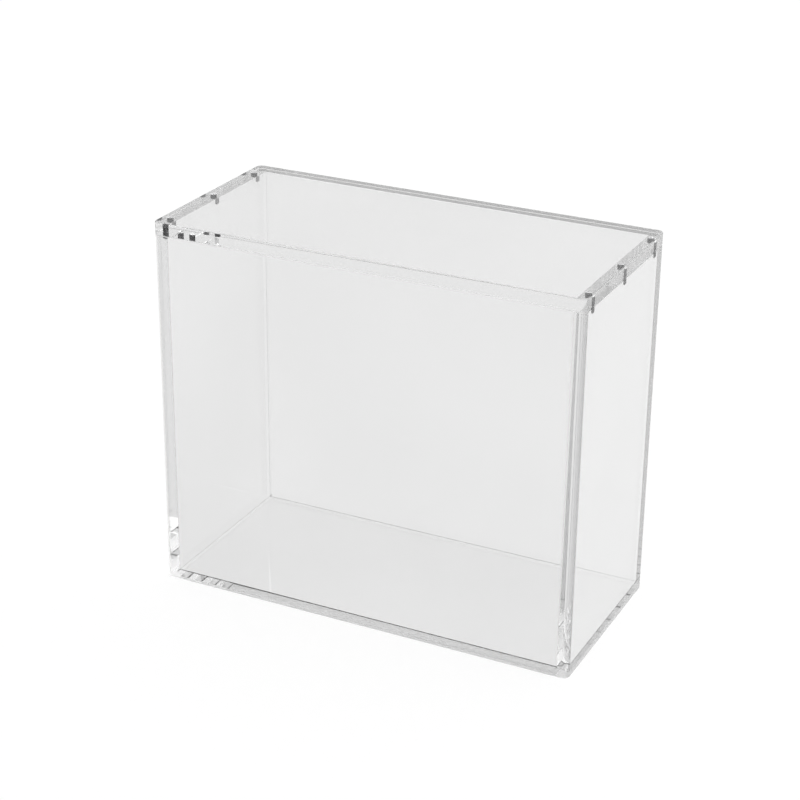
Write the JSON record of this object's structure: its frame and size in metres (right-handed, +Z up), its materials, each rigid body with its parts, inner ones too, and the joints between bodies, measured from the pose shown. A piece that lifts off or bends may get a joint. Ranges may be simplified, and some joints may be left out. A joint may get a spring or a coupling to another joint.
{
  "type": "acrylic storage box with lid",
  "caption": "Upright clear acrylic storage box with a flat lift-off lid held by small round magnets let into the lid and the top edges of the end panels.",
  "frame": {"origin": "centre of the resting face, under the middle of the base", "axes": "+Z up, +X along the box's width to the right as seen from the front, front face at -Y"},
  "size_m": [0.204, 0.094, 0.177],
  "materials": {
    "clear_acrylic": "clear cast sheet with polished faces and edges",
    "magnet_plating": "bright nickel plating on round magnets, a little dull from handling"
  },
  "bodies": {
    "box": {"base_panel": "clear_acrylic", "front_panel": "clear_acrylic", "back_panel": "clear_acrylic", "left_end_panel": "clear_acrylic", "right_end_panel": "clear_acrylic", "end_magnet_left_front": "magnet_plating", "end_magnet_left_middle": "magnet_plating", "end_magnet_left_back": "magnet_plating", "end_magnet_right_front": "magnet_plating", "end_magnet_right_middle": "magnet_plating", "end_magnet_right_back": "magnet_plating"},
    "lid": {"lid_plate": "clear_acrylic", "lid_magnet_left_front": "magnet_plating", "lid_magnet_left_middle": "magnet_plating", "lid_magnet_left_back": "magnet_plating", "lid_magnet_right_front": "magnet_plating", "lid_magnet_right_middle": "magnet_plating", "lid_magnet_right_back": "magnet_plating"}
  },
  "joints": [
    {"name": "lid_lift", "type": "slide", "parent": "box", "child": "lid", "axis": [0, 0, 1], "range_m": [0, 0.2]}
  ]
}
